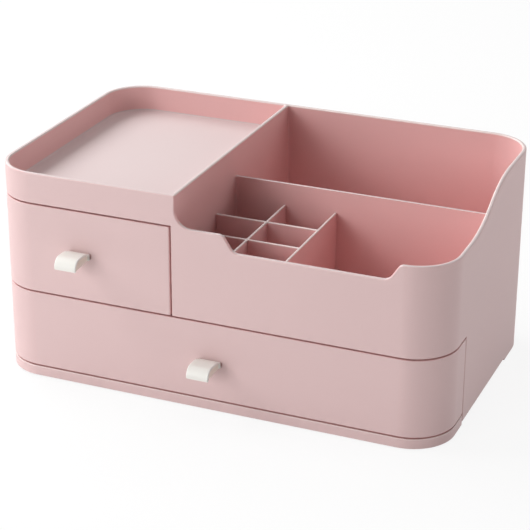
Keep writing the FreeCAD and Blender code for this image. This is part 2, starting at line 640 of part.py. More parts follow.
def finish_drawer(body, handle, bottom, box_bottom, top, sides):
    """What both drawers have: the handle's slot, the ribs they slide on and the chamfered edges."""
    x, z = handle
    slot = rectangle(f"{x} - slot_width / 2", f"{x} + slot_width / 2",
                     f"{z} + slot_rise - slot_height / 2", f"{z} + slot_rise + slot_height / 2")
    remove(body, "slot", f"-{FRONT} + {BEYOND}", slot, f"{BEYOND} + front_wall + 1", plane="XZ_Plane")
    floor = f"{box_bottom} + box_wall"
    chamfered(body, "floor_edges", "box_floor_chamfer", lambda edge: level_at(floor, edge))
    chamfered(body, "panel_edges", "edge_chamfer", lambda edge: is_panel_edge(edge, bottom, top))
    for i, (side, inward) in enumerate(zip(sides, ("+", "-"))):
        near = f"{side} {inward} runner_inset"
        plan = rectangle(near, f"{near} {inward} runner_width", f"{FRONT} + runner_setback",
                         f"{BOX_BACK} - {BOX_RADIUS}")
        add(body, f"runner_{i}", box_bottom, plan, "runner_height", down=True)


def is_panel_edge(edge, bottom, top):
    """The outer edges of a drawer's front, along its top, its foot and its ends."""
    ahead = edge.BoundBox.YMax < value(WING_END) + 1e-4
    if upright(edge):
        return ahead and abs(edge.BoundBox.YMin - value(WING_END)) < 1e-4 and on_skin(edge)
    outer = on_skin(edge) or abs(edge.BoundBox.XMin - value(SMALL_RIGHT)) < 1e-4
    return ahead and outer and (level_at(bottom, edge) or level_at(top, edge))


# Handles: a hooked shell that the fingers reach under, snapped into the slot by a split tongue.

def make_handle(name, x, z):
    body = new_body(name, x, FRONT, z)
    shape = [
        ("0", "-handle_root_bottom"),
        ("0", "handle_root_top"),
        ("-handle_crown_start", "handle_crown", "handle_crown_round"),
        ("-handle_reach", "handle_crown", "handle_nose_round"),
        ("-handle_reach", "-handle_bottom", "handle_lip_round"),
    ]
    add(body, "shell", "-handle_width / 2", shape, "handle_width", plane="YZ_Plane")
    chamfered(body, "shell_edges", "handle_chamfer", is_handle_edge)
    for side, mark in SIDES.items():
        web = handle_inside("handle_rim", "handle_rim")
        face = f"{mark}(handle_width / 2 - handle_web_recess)"
        remove(body, f"web_{side}", face, web, BEYOND, down=bool(mark), plane="YZ_Plane")
    inside = "(handle_width - 2 * handle_web_recess - 2 * handle_web)"
    hollow = handle_inside("handle_root_wall", "handle_shell")
    remove(body, "hollow", f"{inside} / 2", hollow, inside, plane="YZ_Plane")

    prong = "(slot_height / 2 - slot_clearance)"
    shoulder = "front_wall + barb_clearance"
    tip = "front_wall + barb_reach"
    inner = "-handle_root_wall / 2"
    tongue = [
        (inner, f"slot_rise - {prong}"),
        (shoulder, f"slot_rise - {prong}"),
        (shoulder, f"slot_rise - {prong} - barb_height"),
        (tip, f"slot_rise - {prong} + barb_lead"),
        (tip, f"slot_rise + {prong} - barb_lead"),
        (shoulder, f"slot_rise + {prong} + barb_height"),
        (shoulder, f"slot_rise + {prong}"),
        (inner, f"slot_rise + {prong}"),
    ]
    add(body, "tongue", "-tongue_width / 2", tongue, "tongue_width", plane="YZ_Plane")
    slit = rectangle("barb_lead", f"{tip} + {BEYOND}",
                     "slot_rise - tongue_slit / 2", "slot_rise + tongue_slit / 2")
    remove(body, "slit", "tongue_width", slit, "2 * tongue_width", plane="YZ_Plane")
    return body


def is_handle_edge(edge):
    """The edges between a handle's sides and its crown and nose."""
    box = edge.BoundBox
    below = box.YMax > -1e-4 and box.ZMax < 0
    return box.XLength < 1e-4 and box.YMin < -1e-4 and not below


def handle_inside(root, wall):
    """A handle's side profile, drawn in by a wall and open below."""
    return [
        (f"-{root}", f"-handle_bottom - {BEYOND}"),
        (f"-{root}", f"handle_root_top - 0.6 * {wall}"),
        ("-handle_crown_start", f"handle_crown - {wall}", "handle_crown_round"),
        (f"-(handle_reach - {wall})", f"handle_crown - {wall}", f"handle_nose_round - {wall}"),
        (f"-(handle_reach - {wall})", f"-handle_bottom - {BEYOND}"),
    ]


# Lipstick grid: crossed strips on the front compartment's floor, in one piece.

def make_grid():
    body = new_body("lipstick_grid")
    left = f"({PARTITION_RIGHT} + grid_clearance)"
    right = f"({LAST_STRIP} + strip_wall / 2)"
    front = f"(-{BACK_INNER} + grid_clearance)"
    back = f"({DIVIDER_FRONT} - grid_clearance)"
    for i in range(2):
        x = f"({PARTITION_RIGHT} + grid_column + {i} * grid_column_step)"
        plan = rectangle(f"{x} - strip_wall / 2", f"{x} + strip_wall / 2", front, back)
        add(body, f"lengthwise_{i}", SHELF_TOP, plan, "grid_height")
        y = f"({DIVIDER_MIDDLE} - grid_row - {i} * grid_row_step)"
        plan = rectangle(left, right, f"{y} - strip_wall / 2", f"{y} + strip_wall / 2")
        add(body, f"cross_{i}", SHELF_TOP, plan, "grid_height")
    chamfered(body, "strip_tops", "strip_chamfer", lambda edge: level_at(f"{SHELF_TOP} + grid_height", edge))
    return body


# Base plate: closes the case from below, shows as the plinth in front and carries the rubber feet.

def base_plan(inset):
    """The base plate's outline, drawn in by an inset: full width in front, between the walls behind."""
    side = f"({SIDE} - {inset})"
    inner = f"({SIDE_INNER} - base_clearance - {inset})"
    back = f"({BACK_INNER} - base_clearance - {inset})"
    return [
        (f"-{side}", f"{FRONT} + {inset}", f"corner_radius - {inset}"),
        (side, f"{FRONT} + {inset}", f"corner_radius - {inset}"),
        (side, f"{WING_END} - {inset}"),
        (inner, f"{WING_END} - {inset}"),
        (inner, back, f"{INNER_RADIUS} - base_clearance - {inset}"),
        (f"-{inner}", back, f"{INNER_RADIUS} - base_clearance - {inset}"),
        (f"-{inner}", f"{WING_END} - {inset}"),
        (f"-{side}", f"{WING_END} - {inset}"),
    ]


def make_base_plate():
    body = new_body("base_plate")
    add(body, "plate", "0", base_plan("0"), "plinth_height")
    underside = "(plinth_height - base_thickness)"
    remove(body, "underside", underside, base_plan("base_wall"), underside)

    for i in range(-1, 2):
        x = f"{i} * base_rib_pitch"
        rib = rectangle(f"{x} - base_wall / 2", f"{x} + base_wall / 2", f"{FRONT} + base_wall / 2",
                        f"{BACK_INNER} - base_clearance - base_wall / 2")
        add(body, f"rib_{i + 1}", underside, rib, "base_rib_height", down=True)
    rib = rectangle(f"-{SIDE_INNER} + base_wall", f"{SIDE_INNER} - base_wall",
                    "-base_wall / 2", "base_wall / 2")
    add(body, "cross_rib", underside, rib, "base_rib_height", down=True)

    for side, mark in SIDES.items():
        lug = lug_plan(mark, "0")
        add(body, f"lug_{side}", LUG_TOP, lug, "lug_height", down=True)
        boss = [
            (f"{mark}({SCREW_X} - {BOSS_HALF})", f"{SCREW_Y} - {BOSS_HALF}"),
            (f"{mark}({SCREW_X} + {BOSS_HALF})", f"{SCREW_Y} - {BOSS_HALF}"),
            (f"{mark}({SCREW_X} + {BOSS_HALF})", f"{SCREW_Y} + 0.35 * {BOSS_HALF}"),
            (f"{mark}({SCREW_X} + 0.35 * {BOSS_HALF})", f"{SCREW_Y} + {BOSS_HALF}"),
            (f"{mark}({SCREW_X} - {BOSS_HALF})", f"{SCREW_Y} + {BOSS_HALF}"),
        ]
        add(body, f"sink_boss_{side}", underside, boss, underside, down=True)
        remove(body, f"sink_{side}", underside, (f"{mark}{SCREW_X}", SCREW_Y, SINK_RADIUS), underside)
        remove(body, f"hole_{side}", "plinth_height",
               (f"{mark}{SCREW_X}", SCREW_Y, "screw_radius + screw_clearance"), "base_thickness")
    for name, (x, y) in FEET.items():
        add(body, f"{name}_seat", underside, (x, y, "pad_radius + pad_clearance + seat_wall"), underside,
            down=True)
        remove(body, f"{name}_recess", "pad_recess", (x, y, "pad_radius + pad_clearance"), "pad_recess")
    chamfered(body, "plinth_edge", "edge_chamfer", is_plinth_edge)
    return body


def is_plinth_edge(edge):
    """The upper outer edge of the plinth."""
    ahead = edge.BoundBox.YMin < value(WING_END) - 1e-4
    return ahead and level_at("plinth_height", edge) and on_skin(edge)


def make_foot_pad(name, x, y):
    body = new_body(name, x, y, f"-{PAD_PROUD}")
    add(body, "disc", "0", ("0", "0", "pad_radius"), "pad_thickness")
    return body


def make_screws():
    """The two screws that hold the base plate to the housing's rear corners."""
    body = new_body("base_screws")
    body.AllowCompound = True
    seat = "(plinth_height - base_thickness)"
    arm = "recess_width / 2"
    end = "recess_length / 2"
    quarter = [(end, arm), (arm, arm), (arm, end)]
    cross = quarter + [(f"-{y}", x) for x, y in quarter]
    cross += [(f"-{x}", f"-{y}") for x, y in quarter] + [(y, f"-{x}") for x, y in quarter]
    for side, mark in SIDES.items():
        x = f"{mark}{SCREW_X}"
        add(body, f"head_{side}", seat, (x, SCREW_Y, "screw_head_radius"), "screw_head_height", down=True)
        add(body, f"shank_{side}", seat, (x, SCREW_Y, "screw_radius"), "screw_length")
        recess = [(f"{x} + {across}", f"{SCREW_Y} + {along}") for across, along in cross]
        remove(body, f"recess_{side}", f"{seat} - screw_head_height", recess, "recess_depth", down=False)
    return body


pieces = [
    make_housing(),
    make_large_drawer(),
    make_small_drawer(),
    make_handle("large_drawer_handle", *LARGE_HANDLE),
    make_handle("small_drawer_handle", *SMALL_HANDLE),
    make_grid(),
    make_base_plate(),
    make_screws(),
]
pieces += [make_foot_pad(name, x, y) for name, (x, y) in FEET.items()]

doc.recompute()
failed = [thing.Label for thing in doc.Objects if {"Invalid", "Error"} & set(thing.State)]
failed += [piece.Label for piece in pieces if piece.Shape.isNull() or not piece.Shape.isValid()]
for pocket in doc.findObjects("PartDesign::Pocket"):
    if pocket.Shape.Volume > pocket.BaseFeature.Shape.Volume - 1e-3:
        failed.append(f"{pocket.Label}, which cuts nothing")
if failed:
    raise RuntimeError("these did not build: " + ", ".join(failed))

os.makedirs("parts", exist_ok=True)
for piece in pieces:
    piece.Shape.exportStep(f"parts/{piece.Label}.step")
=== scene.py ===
"""Looks of a desktop make-up case: moulded pink housing, two drawers, cream pulls and rubber feet."""

from __future__ import annotations

import logging
import math
from dataclasses import dataclass
from enum import Enum

import bmesh
import bpy
from mathutils import Matrix, Vector


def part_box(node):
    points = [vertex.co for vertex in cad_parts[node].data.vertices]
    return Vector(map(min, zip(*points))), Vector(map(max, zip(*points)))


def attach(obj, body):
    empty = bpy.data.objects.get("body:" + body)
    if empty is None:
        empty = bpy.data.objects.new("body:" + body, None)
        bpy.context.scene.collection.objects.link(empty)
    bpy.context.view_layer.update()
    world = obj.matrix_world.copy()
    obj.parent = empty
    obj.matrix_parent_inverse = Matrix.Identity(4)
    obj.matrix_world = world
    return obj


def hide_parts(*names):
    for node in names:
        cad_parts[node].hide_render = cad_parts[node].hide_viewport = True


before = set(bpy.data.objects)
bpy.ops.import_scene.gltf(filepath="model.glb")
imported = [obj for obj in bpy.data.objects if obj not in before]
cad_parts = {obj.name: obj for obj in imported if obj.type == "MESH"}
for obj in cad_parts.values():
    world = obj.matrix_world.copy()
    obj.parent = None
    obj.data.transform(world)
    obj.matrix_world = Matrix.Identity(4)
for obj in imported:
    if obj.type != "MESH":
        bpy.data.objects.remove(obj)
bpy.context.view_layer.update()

LOG = logging.getLogger("make_up_case")
MM = 0.001

# Face attributes that the finishes read: rounded faces that look up, for a painted highlight; faces that look
# up near the top, for a painted sheen; a pull's side webs, for painted bounce light.
HIGHLIGHT_EDGE = "painted_highlight_edge"
SHEEN_TOP_FACE = "painted_sheen_top"
SIDE_WEB = "side_web"

# The least part of a face's unit normal along an axis for the face to count as looking that way.
LOOKS_SQUARELY = 0.9
LOOKS_UP = 0.7
LEANS_UP = 0.35
TURNS_UP = 0.1
# The most of it along Z for the face to count as upright.
UPRIGHT = 0.05
# How far a corner's normal follows its larger faces: even at 50, larger faces first above that.
LARGE_FACES_FIRST = 60

# The Mix node's sockets for colours.
MIX_FACTOR, MIX_FIRST, MIX_SECOND, MIX_RESULT = 0, 6, 7, 2

Colour = tuple[float, float, float]
Number = bpy.types.NodeSocket | float
Tint = bpy.types.NodeSocket | Colour


class Body(Enum):
    """The rigid bodies that the pieces ride on."""

    CASE = "case"
    SMALL_DRAWER = "small_drawer"
    LARGE_DRAWER = "large_drawer"


class Slot(Enum):
    """The finishes that the object's material slots name."""

    PINK = "pink_plastic"
    CREAM = "cream_plastic"
    RUBBER = "foot_rubber"
    STEEL = "screw_steel"


# Shader node groups ------------------------------------------------------------------------------


class NodeTree:
    """A thin helper that adds and links nodes in one node tree."""

    def __init__(self, tree: bpy.types.NodeTree) -> None:
        """Keeps the tree.

        Args:
            tree: the node tree to fill.
        """
        self.tree = tree

    def add(self, kind: str, label: str = "", **values: object) -> bpy.types.Node:
        """Adds a node and sets its properties and input sockets.

        Args:
            kind: the node's type name.
            label: a plain name for the node.
            values: a property of the node, or an input socket by name with _ for a space.

        Returns:
            The new node.
        """
        node = self.tree.nodes.new(kind)
        node.label = label
        for key, value in values.items():
            if hasattr(node, key):
                setattr(node, key, value)
            else:
                node.inputs[key.replace("_", " ")].default_value = value
        return node

    def link(self, source: bpy.types.NodeSocket, target: bpy.types.NodeSocket) -> None:
        """Links two sockets."""
        self.tree.links.new(source, target)

    def feed(self, socket: bpy.types.NodeSocket, value: Number | Tint) -> None:
        """Links a socket to an input, or sets the input.

        Args:
            socket: the input.
            value: a socket, a number or a colour.
        """
        if isinstance(value, bpy.types.NodeSocket):
            self.link(value, socket)
        elif isinstance(value, tuple):
            socket.default_value = (*value, 1.0)
        else:
            socket.default_value = value

    def math(self, operation: str, *values: Number) -> bpy.types.NodeSocket:
        """Adds a Math node.

        Args:
            operation: the Math operation.
            values: a socket or a number for each input that the operation uses.

        Returns:
            The node's value socket.
        """
        node = self.tree.nodes.new("ShaderNodeMath")
        node.operation = operation
        for socket, value in zip(node.inputs, values):
            self.feed(socket, value)
        return node.outputs[0]

    def mix_colour(self, factor: Number, first: Tint, second: Tint) -> bpy.types.NodeSocket:
        """Adds a colour Mix node.

        Args:
            factor: how much of the second colour shows.
            first: a socket or a colour.
            second: a socket or a colour.

        Returns:
            The mixed colour's socket.
        """
        node = self.tree.nodes.new("ShaderNodeMix")
        node.data_type = "RGBA"
        for place, value in ((MIX_FACTOR, factor), (MIX_FIRST, first), (MIX_SECOND, second)):
            self.feed(node.inputs[place], value)
        return node.outputs[MIX_RESULT]

    def seen_rays(self) -> bpy.types.NodeSocket:
        """Adds a Light Path test for the rays that should find a white background.

        Returns:
            A socket that is 1 for camera, glossy and transmission rays, and 0 for the others.
        """
        rays = self.add("ShaderNodeLightPath")
        seen = self.math("MAXIMUM", rays.outputs["Is Camera Ray"], rays.outputs["Is Glossy Ray"])
        return self.math("MAXIMUM", seen, rays.outputs["Is Transmission Ray"])


def new_group(
    name: str, inputs: dict[str, float], outputs: tuple[str, ...]
) -> tuple[NodeTree, bpy.types.Node, bpy.types.Node]:
    """Makes an empty shader node group whose sockets are all plain numbers.

    Args:
        name: the group's name.
        inputs: each input's name and default value.
        outputs: the outputs' names.

    Returns:
        The group's tree helper, its input node and its output node.
    """
    tree = bpy.data.node_groups.new(name, "ShaderNodeTree")
    for label, default in inputs.items():
        socket = tree.interface.new_socket(label, in_out="INPUT", socket_type="NodeSocketFloat")
        socket.default_value = default
    for label in outputs:
        tree.interface.new_socket(label, in_out="OUTPUT", socket_type="NodeSocketFloat")
    nodes = NodeTree(tree)
    return nodes, nodes.add("NodeGroupInput"), nodes.add("NodeGroupOutput")


def make_grain_group() -> bpy.types.NodeTree:
    """Makes the fine spark-eroded grain of a mould, with the slow waves of a cooled wall.

    Returns:
        The group, which puts out a height and a slow tone.
    """
    given_sizes = {"Grain Size": 0.6 * MM, "Wave Size": 90.0 * MM, "Wave": 0.6}
    nodes, given, out = new_group("moulded_grain", given_sizes, ("Height", "Tone"))
    place = nodes.add("ShaderNodeTexCoord")
    grain = nodes.add("ShaderNodeTexNoise", "grain", Detail=2.0, Roughness=0.55)
    nodes.link(place.outputs["Object"], grain.inputs["Vector"])
    nodes.link(nodes.math("DIVIDE", 1.0, given.outputs["Grain Size"]), grain.inputs["Scale"])
    wave = nodes.add("ShaderNodeTexNoise", "wave", Detail=1.0, Roughness=0.4)
    nodes.link(place.outputs["Object"], wave.inputs["Vector"])
    nodes.link(nodes.math("DIVIDE", 1.0, given.outputs["Wave Size"]), wave.inputs["Scale"])
    lifted = nodes.math("MULTIPLY", wave.outputs["Fac"], given.outputs["Wave"])
    nodes.link(nodes.math("ADD", grain.outputs["Fac"], lifted), out.inputs["Height"])
    nodes.link(wave.outputs["Fac"], out.inputs["Tone"])
    return nodes.tree


def make_sheen_mask_group() -> bpy.types.NodeTree:
    """Makes a mask of the case's outer layer, which takes a paler colour than its inside: a painted sheen
    where light falls on the outer faces.

    The skin is a thin layer along a rounded rectangle, seen from above.

    Returns:
        The group, which puts out 1 on the skin and 0 from the given wall inwards.
    """
    given_sizes = {
        "Half Width": 160.0 * MM,
        "Half Depth": 99.3 * MM,
        "Middle": 10.4 * MM,
        "Corner": 30.0 * MM,
        "Wall": 0.7 * MM,
    }
    nodes, given, out = new_group("painted_sheen_mask", given_sizes, ("Mask",))
    place = nodes.add("ShaderNodeTexCoord")
    split = nodes.add("ShaderNodeSeparateXYZ")
    nodes.link(place.outputs["Object"], split.inputs[0])
    across = nodes.math("ABSOLUTE", split.outputs["X"])
    along = nodes.math("ABSOLUTE", nodes.math("SUBTRACT", split.outputs["Y"], given.outputs["Middle"]))
    squares = []
    for reach, half in ((across, "Half Width"), (along, "Half Depth")):
        straight = nodes.math("SUBTRACT", given.outputs[half], given.outputs["Corner"])
        beyond = nodes.math("MAXIMUM", nodes.math("SUBTRACT", reach, straight), 0.0)
        squares.append(nodes.math("POWER", beyond, 2.0))
    from_corner = nodes.math("SQRT", nodes.math("ADD", *squares))
    depth = nodes.math("SUBTRACT", given.outputs["Corner"], from_corner)
    inside = nodes.math("DIVIDE", depth, given.outputs["Wall"])
    clamp = nodes.add("ShaderNodeClamp")
    nodes.link(nodes.math("SUBTRACT", 1.0, inside), clamp.inputs["Value"])
    nodes.link(clamp.outputs[0], out.inputs["Mask"])
    return nodes.tree


@dataclass(frozen=True)
class Groups:
    """The node groups that the finishes share."""

    grain: bpy.types.NodeTree
    skin: bpy.types.NodeTree


# Finishes ----------------------------------------------------------------------------------------


def new_material(name: str) -> tuple[bpy.types.Material, NodeTree, bpy.types.Node]:
    """Makes a material with a plain shader.

    Args:
        name: the material's name.

    Returns:
        The material, its tree's helper and its Principled shader.
    """
    material = bpy.data.materials.new(name)
    material.use_nodes = True
    return material, NodeTree(material.node_tree), material.node_tree.nodes["Principled BSDF"]


@dataclass(frozen=True)
class Moulded:
    """A moulded plastic or rubber: a tone that drifts a little, a grain and a painted highlight on rounded
    edges that look up.

    The outer faces and the faces near the top that look up may take paler colours, a painted sheen where
    light falls, and a pull's side webs a warmer one, painted bounce light in their shade.
    """

    name: str
    colour: Colour
    # pale is a painted highlight on rounded faces that look up; edge is how strongly they take it.
    pale: Colour
    roughness: float
    # Paler outer and upper colours are a painted sheen; the web colour is painted bounce light.
    skin: Colour | None = None
    top: Colour | None = None
    web: Colour | None = None
    edge: float = 0.3
    drift: float = 0.04
    spread: float = 0.04
    grain: float = 0.6 * MM
    depth: float = 0.012 * MM
    ior: float = 1.5

    def build(self, groups: Groups) -> bpy.types.Material:
        """Makes the material.

        Args:
            groups: the shared node groups.

        Returns:
            The material.
        """
        material, nodes, shader = new_material(self.name)
        shader.inputs["IOR"].default_value = self.ior
        texture = nodes.add("ShaderNodeGroup", "grain", node_tree=groups.grain, Grain_Size=self.grain)

        colour = self.drifted(nodes, texture, self.colour)
        # Painted sheen: the outer layer takes a paler colour than the inside.
        if self.skin:
            skin = nodes.add("ShaderNodeGroup", "skin", node_tree=groups.skin)
            colour = nodes.mix_colour(skin.outputs["Mask"], colour, self.drifted(nodes, texture, self.skin))
        # Painted sheen on the faces that look up near the top; painted bounce light on a pull's side webs.
        for name, own in ((SHEEN_TOP_FACE, self.top), (SIDE_WEB, self.web)):
            if own:
                faces = nodes.add("ShaderNodeAttribute", name, attribute_name=name)
                colour = nodes.mix_colour(faces.outputs["Fac"], colour, self.drifted(nodes, texture, own))
        # Painted highlight: rounded faces that look up are paled by the edge strength.
        edges = nodes.add("ShaderNodeAttribute", "edges", attribute_name=HIGHLIGHT_EDGE)
        highlighted = nodes.math("MULTIPLY", edges.outputs["Fac"], self.edge)
        nodes.link(nodes.mix_colour(highlighted, colour, self.pale), shader.inputs["Base Color"])

        least, most = self.roughness - self.spread, self.roughness + self.spread
        rough = nodes.add("ShaderNodeMapRange", "roughness", To_Min=least, To_Max=most)
        nodes.link(texture.outputs["Tone"], rough.inputs["Value"])
        nodes.link(rough.outputs[0], shader.inputs["Roughness"])
        bump = nodes.add("ShaderNodeBump", "grain", Strength=1.0, Distance=self.depth)
        nodes.link(texture.outputs["Height"], bump.inputs["Height"])
        nodes.link(bump.outputs[0], shader.inputs["Normal"])
        return material

    def drifted(self, nodes: NodeTree, texture: bpy.types.Node, colour: Colour) -> bpy.types.NodeSocket:
        """Lets a colour drift with the slow tone.

        Args:
            nodes: the material's tree.
            texture: the grain group's node.
            colour: the colour.

        Returns:
            The drifting colour's socket.
        """
        darker = tuple(channel * (1.0 - self.drift) for channel in colour)
        return nodes.mix_colour(texture.outputs["Tone"], darker, colour)


@dataclass(frozen=True)
class Plated:
    """Zinc-plated steel whose colour and gloss vary a little."""

    name: str
    colour: Colour
    roughness: float
    spread: float = 0.1
    dull: float = 0.7

    def build(self, groups: Groups) -> bpy.types.Material:
        """Makes the material.

        Args:
            groups: the shared node groups.

        Returns:
            The material.
        """
        material, nodes, shader = new_material(self.name)
        shader.inputs["Metallic"].default_value = 1.0
        texture = nodes.add("ShaderNodeGroup", "grain", node_tree=groups.grain)
        worn = tuple(channel * self.dull for channel in self.colour)
        nodes.link(nodes.mix_colour(texture.outputs["Tone"], worn, self.colour), shader.inputs["Base Color"])
        rough = nodes.math("MULTIPLY_ADD", texture.outputs["Tone"], self.spread, self.roughness)
        nodes.link(rough, shader.inputs["Roughness"])
        return material


FINISHES = {
    Slot.PINK: Moulded(
        "pink_satin",
        # The base colour is deeper than the outer faces: painted shade and pink bounce light inside the case.
        colour=(0.755, 0.445, 0.435),
        # Painted highlight on rounded edges that look up.
        pale=(0.76, 0.66, 0.63),
        roughness=0.5,
        # Paler outer faces: painted sheen.
        skin=(0.68, 0.49, 0.484),
        # Paler faces that look up near the top: painted sheen.
        top=(0.63, 0.515, 0.51),
        edge=0.8,
    ),
    Slot.CREAM: Moulded(
        "cream_satin",
        colour=(0.81, 0.795, 0.75),
        # Painted highlight on the pull's rounded edges that look up.
        pale=(0.95, 0.94, 0.92),
        roughness=0.5,
        # Warmer, brighter side webs: painted bounce light in their shade.
        web=(0.93, 0.85, 0.75),
        edge=0.8,
    ),
    Slot.RUBBER: Moulded(
        "grey_rubber", colour=(0.45, 0.45, 0.44), pale=(0.5, 0.5, 0.5), roughness=0.75, grain=1.5 * MM
    ),
    Slot.STEEL: Plated("plated_steel", colour=(0.62, 0.62, 0.63), roughness=0.3),
}


# Pieces ------------------------------------------------------------------------------------------


def add_object(name: str, data: bpy.types.ID) -> bpy.types.Object:
    """Makes an object and links it to the scene.

    Args:
        name: the object's name.
        data: its mesh, camera or light.

    Returns:
        The object.
    """
    made = bpy.data.objects.new(name, data)
    bpy.context.scene.collection.objects.link(made)
    return made


def finish_mesh(piece: bpy.types.Object, body: Body, material: bpy.types.Material) -> None:
    """Dresses a piece and hangs it on its body.

    Args:
        piece: the piece, with its mesh in place.
        body: the body that it rides on.
        material: its material.
    """
    piece.data.materials.clear()
    piece.data.materials.append(material)
    for face in piece.data.polygons:
        face.use_smooth = True
        face.material_index = 0
    weighted = piece.modifiers.new("even_shading", "WEIGHTED_NORMAL")
    weighted.weight = LARGE_FACES_FIRST
    weighted.keep_sharp = True
    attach(piece, body.value)


def sharp_edges(
    form: bmesh.types.BMesh, crease: float, stub: float = 0.6 * MM
) -> list[bmesh.types.BMEdge]:
    """Finds the outward creases of a form, without the short loose ones that a facetted curve leaves.

    Args:
        form: the form.
        crease: the least angle between two faces that counts as a crease.
        stub: the length below which a crease with a free end is left out.

    Returns:
        The creased edges, in the form's own order.
    """
    found = {edge for edge in form.edges if edge.is_convex and edge.calc_face_angle() > crease}
    loose = found
    while loose:
        loose = {
            edge for edge in found
            if edge.calc_length() < stub
            and any(sum(other in found for other in end.link_edges) == 1 for end in edge.verts)
        }
        found = found - loose
    return [edge for edge in form.edges if edge in found]


def soften(form: bmesh.types.BMesh, edges: list[bmesh.types.BMEdge], size: float, segments: int) -> None:
    """Rounds edges, marks the rounded faces that look up for a painted highlight and keeps the form inside
    its box.

    Args:
        form: the form.
        edges: the edges to round.
        size: how far the rounding reaches.
        segments: how many faces cross it.
    """
    low = Vector(min(vert.co[axis] for vert in form.verts) for axis in range(3))
    high = Vector(max(vert.co[axis] for vert in form.verts) for axis in range(3))
    # Marks the rounded faces that look up for a painted highlight.
    mark = form.faces.layers.float.get(HIGHLIGHT_EDGE) or form.faces.layers.float.new(HIGHLIGHT_EDGE)
    made = bmesh.ops.bevel(
        form,
        geom=edges,
        affect="EDGES",
        offset=size,
        offset_type="OFFSET",
        segments=segments,
        profile=0.5,
        material=-1,
        clamp_overlap=False,
        loop_slide=True,
    )
    for face in made["faces"]:
        face[mark] = float(face.normal.z > TURNS_UP)
    for vert in form.verts:
        vert.co = Vector(min(max(vert.co[axis], low[axis]), high[axis]) for axis in range(3))


@dataclass
class MouldedPart:
    """A moulded piece that keeps its solid's form and gets softly rounded edges."""

    node: str
    piece: str
    body: Body
    slot: Slot = Slot.PINK
    edge_round: float = 0.3 * MM
    segments: int = 2
    crease: float = math.radians(42.0)
    fold: float = math.radians(50.0)
    merge: float = 0.002 * MM
    flat: float = math.radians(0.3)

    def build(self, material: bpy.types.Material) -> list[bpy.types.Object]:
        """Makes the piece from a merged copy of its node's mesh.

        Args:
            material: the piece's material.

        Returns:
            The piece, in a list of its own.
        """
        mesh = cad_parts[self.node].data.copy()
        mesh.name = self.piece
        form = bmesh.new()
        form.from_mesh(mesh)
        bmesh.ops.remove_doubles(form, verts=form.verts, dist=self.merge)
        bmesh.ops.dissolve_limit(form, angle_limit=self.flat, verts=form.verts, edges=form.edges)
        self.round_edges(form)
        for edge in form.edges:
            edge.smooth = edge.calc_face_angle(0.0) < self.fold
        self.mark_faces(form)
        form.to_mesh(mesh)
        form.free()
        piece = add_object(self.piece, mesh)
        finish_mesh(piece, self.body, material)
        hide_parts(self.node)
        return [piece]

    def round_edges(self, form: bmesh.types.BMesh) -> None:
        """Rounds every outward crease of the form."""
        soften(form, sharp_edges(form, self.crease), self.edge_round, self.segments)

    def mark_faces(self, form: bmesh.types.BMesh) -> None:
        """Marks the form's faces that take painted light of their own, of which a plain part has none."""


@dataclass
class OpenPart(MouldedPart):
    """A part of the case's open top, whose upper faces take a paler tone: a painted sheen where light falls
    from above.
    """

    top_level: float = 100.0 * MM

    def mark_faces(self, form: bmesh.types.BMesh) -> None:
        """Marks the faces that look up near the top of the case, which take a painted sheen.

        Args:
            form: the part's form.
        """
        mark = form.faces.layers.float.new(SHEEN_TOP_FACE)
        for face in form.faces:
            high = face.calc_center_median().z > self.top_level
            face[mark] = float(face.normal.z > LOOKS_UP and high)


@dataclass
class Housing(OpenPart):
    """The case's shell, whose open walls have fuller inner rims, apart from its divider."""

    edge_round: float = 0.2 * MM
    rim_round: float = 1.0 * MM
    rim_segments: int = 4
    rim_level: float = 115.5 * MM
    rim_left: float = -26.0 * MM
    divider_x: tuple[float, float] = (-22.0 * MM, 156.0 * MM)
    divider_y: tuple[float, float] = (5.0 * MM, 16.0 * MM)

    def round_edges(self, form: bmesh.types.BMesh) -> None:
        """Rounds the inner rims, and then every crease that is left.

        Args:
            form: the shell's form.
        """
        rims = [edge for edge in sharp_edges(form, self.crease) if self.is_inner_rim(edge)]
        soften(form, rims, self.rim_round, self.rim_segments)
        super().round_edges(form)

    def is_inner_rim(self, edge: bmesh.types.BMEdge) -> bool:
        """Tells whether an edge runs along the top of an open wall, on its inner side.

        Args:
            edge: a crease between two faces.

        Returns:
            True for an inner rim.
        """
        wall, top = sorted((face.normal for face in edge.link_faces), key=lambda normal: abs(normal.z))
        middle = (edge.verts[0].co + edge.verts[1].co) / 2
        in_reach = middle.z > self.rim_level and middle.x > self.rim_left
        on_divider = (
            abs(wall.y) > LOOKS_SQUARELY
            and self.divider_x[0] < middle.x < self.divider_x[1]
            and self.divider_y[0] < middle.y < self.divider_y[1]
        )
        return in_reach and abs(wall.z) < UPRIGHT and top.z > LEANS_UP and not on_divider


@dataclass
class Drawer(MouldedPart):
    """A drawer's box and front, without the painted highlight on its rounded edges."""

    edge_round: float = 0.18 * MM

    def mark_faces(self, form: bmesh.types.BMesh) -> None:
        """Takes the painted-highlight marks off the rounded edges, so that a drawer's edges are not paled."""
        form.faces.layers.float.remove(form.faces.layers.float[HIGHLIGHT_EDGE])


@dataclass
class Pull(MouldedPart):
    """A drawer's hooked pull, with a recessed web in each side."""

    slot: Slot = Slot.CREAM
    edge_round: float = 0.2 * MM
    web_inset: float = 0.3 * MM

    def mark_faces(self, form: bmesh.types.BMesh) -> None:
        """Marks the webs, which take a warmer, brighter colour: painted bounce light in their shade.

        Args:
            form: the pull's form.
        """
        low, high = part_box(self.node)
        middle, reach = (low[0] + high[0]) / 2, (high[0] - low[0]) / 2 - self.web_inset
        mark = form.faces.layers.float.new(SIDE_WEB)
        for face in form.faces:
            inset = abs(face.calc_center_median().x - middle)
            face[mark] = float(abs(face.normal.x) > LOOKS_SQUARELY and inset < reach)


